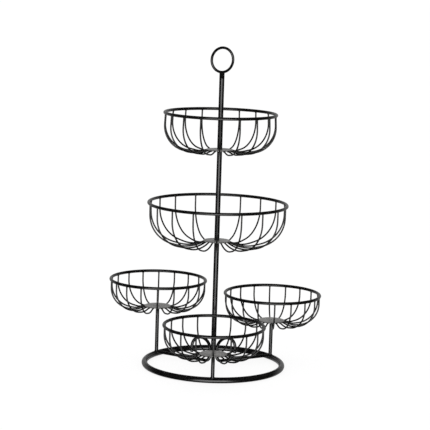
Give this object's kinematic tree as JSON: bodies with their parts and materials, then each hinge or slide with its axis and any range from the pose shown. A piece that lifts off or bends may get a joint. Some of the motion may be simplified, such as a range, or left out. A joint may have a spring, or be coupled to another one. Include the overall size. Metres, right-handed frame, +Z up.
{
  "type": "wire produce basket",
  "caption": "Free-standing wire produce stand: ribbed bowl baskets on a central pole and on short posts around a ring base, with a carrying ring on top.",
  "frame": {"origin": "centre of the base ring, on the plane that the ring rests on", "axes": "+Z up along the pole; -Y towards the front, where the lowest basket stands; +X to the right seen from the front"},
  "size_m": [0.4118, 0.39, 0.61],
  "materials": {
    "frame_paint": "smooth semi-gloss black paint or powder coat",
    "rim_paint": "smooth semi-gloss black paint or powder coat on round rod",
    "wire_paint": "semi-gloss black paint or powder coat on thin wire",
    "plate_paint": "grey-looking paint with a fine speckle, satin",
    "handle_paint": "smooth semi-gloss black paint or powder coat",
    "fastener_steel": null
  },
  "bodies": {
    "stand": {"base_ring": "frame_paint", "leg_left": "frame_paint", "leg_right": "frame_paint", "leg_front": "frame_paint", "post_left": "frame_paint", "post_right": "frame_paint", "post_front": "frame_paint", "screw_left": "fastener_steel", "screw_right": "fastener_steel", "screw_front": "fastener_steel", "pole_lower": "frame_paint", "pole_stud_lower": "fastener_steel", "pole_middle": "frame_paint", "pole_stud_upper": "fastener_steel", "pole_upper": "frame_paint"},
    "handle": {"handle_ring": "handle_paint", "handle_neck": "handle_paint"},
    "top_basket": {"top_basket_rim": "rim_paint", "top_basket_ribs": "wire_paint", "top_basket_plate": "plate_paint"},
    "middle_basket": {"middle_basket_rim": "rim_paint", "middle_basket_ribs": "wire_paint", "middle_basket_plate": "plate_paint"},
    "left_basket": {"left_basket_rim": "rim_paint", "left_basket_ribs": "wire_paint", "left_basket_plate": "plate_paint"},
    "right_basket": {"right_basket_rim": "rim_paint", "right_basket_ribs": "wire_paint", "right_basket_plate": "plate_paint"},
    "front_basket": {"front_basket_rim": "rim_paint", "front_basket_ribs": "wire_paint", "front_basket_plate": "plate_paint"}
  },
  "joints": [
    {"name": "handle_turn", "type": "hinge", "parent": "stand", "child": "handle", "pos_m": [0, 0, 0.5496], "axis": [0, 0, 1], "continuous": true},
    {"name": "top_basket_swivel", "type": "hinge", "parent": "stand", "child": "top_basket", "pos_m": [0, 0, 0.4175], "axis": [0, 0, 1], "continuous": true},
    {"name": "middle_basket_swivel", "type": "hinge", "parent": "stand", "child": "middle_basket", "pos_m": [0, 0, 0.2446], "axis": [0, 0, 1], "continuous": true},
    {"name": "left_basket_swivel", "type": "hinge", "parent": "stand", "child": "left_basket", "pos_m": [-0.11109, 0.06942, 0.101], "axis": [0, 0, 1], "continuous": true},
    {"name": "right_basket_swivel", "type": "hinge", "parent": "stand", "child": "right_basket", "pos_m": [0.11109, 0.06942, 0.079], "axis": [0, 0, 1], "continuous": true},
    {"name": "front_basket_swivel", "type": "hinge", "parent": "stand", "child": "front_basket", "pos_m": [0, -0.131, 0.056], "axis": [0, 0, 1], "continuous": true}
  ]
}
